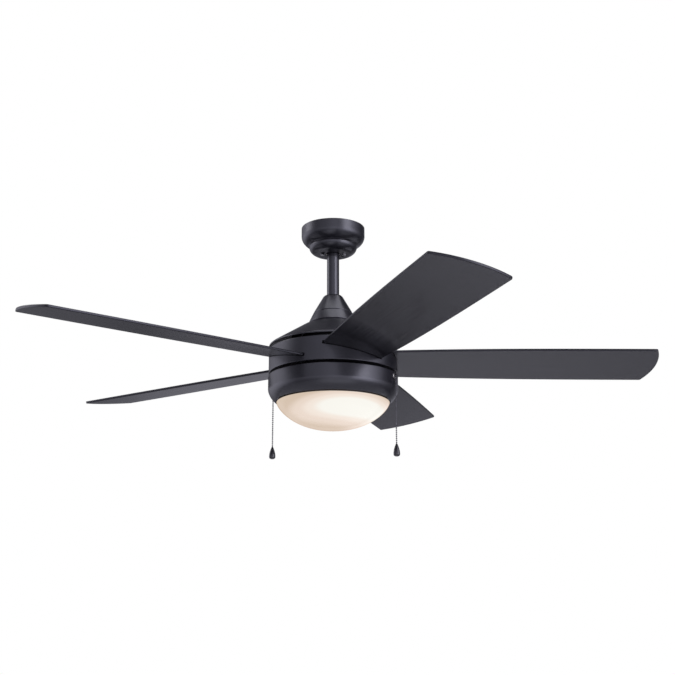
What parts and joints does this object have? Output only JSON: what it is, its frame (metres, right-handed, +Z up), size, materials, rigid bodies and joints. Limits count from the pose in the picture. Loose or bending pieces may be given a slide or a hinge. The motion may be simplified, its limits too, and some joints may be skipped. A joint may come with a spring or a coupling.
{
  "type": "ceiling fan with light",
  "caption": "Ceiling fan on a downrod with pitched blades, a spinning motor housing, a round light pan with an opal glass bowl and two pull chains",
  "frame": {"origin": "centre of the ceiling plane, on the bracket's top face", "axes": "+Z up out of the ceiling, +X along the first blade, the bracket's length along X"},
  "size_m": [1.2242, 1.2744, 0.4928],
  "materials": {
    "black_housing": "satin black powder coat",
    "black_rod": "satin black powder coat on steel tube",
    "zinc_plated": "zinc plated steel",
    "fasteners": "plated steel screws and pins",
    "bearing_steel": "ground bearing steel",
    "die_cast": "raw die casting",
    "laminated_steel": "laminated electrical steel, varnished",
    "copper_winding": "enamelled copper wire",
    "lead_insulation": "plastic insulated leads",
    "black_plastic": "moulded black plastic",
    "nickel": "nickel plated bead chain",
    "gloss_pull": "glossy black pull",
    "white_reflector": "white enamel",
    "porcelain": "glazed porcelain",
    "lamp_glass": "frosted glass",
    "aluminium_cap": "threaded lamp cap",
    "opal_glass": "frosted opal glass, lit from inside",
    "iron_steel": "black coated pressed steel",
    "blade_board": "pressed board under a black film"
  },
  "bodies": {
    "ceiling_mount": {"mounting_bracket": "zinc_plated", "canopy": "black_housing", "canopy_cover": "black_housing", "canopy_screws": "fasteners"},
    "hanger": {"hanger_ball": "black_plastic", "ball_pin": "fasteners", "ball_set_screw": "fasteners", "downrod": "black_rod", "yoke_cover": "black_housing", "coupling": "die_cast", "clevis_pin": "fasteners", "cotter_pin": "zinc_plated", "coupling_set_screws": "fasteners", "top_cover": "black_housing", "cover_screws": "fasteners", "motor_shaft": "bearing_steel", "stator_core": "laminated_steel", "stator_windings": "copper_winding", "bearing_inner_races": "bearing_steel", "switch_plate": "zinc_plated", "shaft_nut": "fasteners", "light_pan": "black_housing", "speed_switch": "black_plastic", "light_switch": "black_plastic", "capacitor": "black_plastic", "reverse_switch": "black_plastic", "chain_stubs": "nickel", "chain_ferrules": "nickel", "socket_bracket": "white_reflector", "lamp_sockets": "porcelain", "lamp_globes": "lamp_glass", "lamp_caps": "aluminium_cap", "supply_leads": "lead_insulation"},
    "rotor": {"rotor_core": "laminated_steel", "rotor_top_shell": "die_cast", "rotor_bottom_shell": "die_cast", "shell_screws": "fasteners", "bearing_outer_races": "bearing_steel", "blade_ring": "black_housing", "ring_screws": "fasteners", "iron_screws": "fasteners", "blade_screws": "fasteners", "blade_iron_1": "iron_steel", "blade_iron_2": "iron_steel", "blade_iron_3": "iron_steel", "blade_iron_4": "iron_steel", "blade_iron_5": "iron_steel", "blade_1": "blade_board", "blade_2": "blade_board", "blade_3": "blade_board", "blade_4": "blade_board", "blade_5": "blade_board"},
    "bearing_balls": {"bearing_balls": "bearing_steel"},
    "bowl": {"glass_bowl": "opal_glass", "bowl_collar": "black_housing"},
    "reverse_slider": {"reverse_slider": "black_plastic"},
    "fan_chain": {"fan_chain": "nickel"},
    "fan_pull": {"fan_pull": "gloss_pull"},
    "light_chain": {"light_chain": "nickel"},
    "light_pull": {"light_pull": "gloss_pull"}
  },
  "joints": [
    {"name": "ball_tilt", "type": "hinge", "parent": "ceiling_mount", "child": "hanger", "pos_m": [0, 0, -0.0335], "axis": [1, 0, 0], "range_deg": [-5, 5]},
    {"name": "blade_spin", "type": "hinge", "parent": "hanger", "child": "rotor", "pos_m": [0, 0, -0.293], "axis": [0, 0, 1], "continuous": true},
    {"name": "bearing_roll", "type": "hinge", "parent": "hanger", "child": "bearing_balls", "pos_m": [0, 0, -0.293], "axis": [0, 0, 1], "continuous": true},
    {"name": "bowl_twist", "type": "hinge", "parent": "hanger", "child": "bowl", "pos_m": [0, 0, -0.368], "axis": [0, 0, 1], "range_deg": [0, 20]},
    {"name": "reverse_slide", "type": "slide", "parent": "hanger", "child": "reverse_slider", "axis": [-1, 0, 0], "range_m": [0, 0.005]},
    {"name": "fan_chain_swing", "type": "hinge", "parent": "hanger", "child": "fan_chain", "pos_m": [0.12333, -0.05491, -0.3311], "axis": [0.9135, -0.4067, 0], "range_deg": [-40, 40]},
    {"name": "fan_pull_travel", "type": "slide", "parent": "fan_chain", "child": "fan_pull", "axis": [0, 0, -1], "range_m": [0, 0.008], "stiffness_N_per_m": 1000},
    {"name": "light_chain_swing", "type": "hinge", "parent": "hanger", "child": "light_chain", "pos_m": [-0.12333, 0.05491, -0.3311], "axis": [-0.9135, 0.4067, 0], "range_deg": [-40, 40]},
    {"name": "light_pull_travel", "type": "slide", "parent": "light_chain", "child": "light_pull", "axis": [0, 0, -1], "range_m": [0, 0.008], "stiffness_N_per_m": 1000}
  ],
  "couplings": [
    {"joint": "bearing_roll", "follows": "blade_spin", "ratio": 0.617}
  ]
}
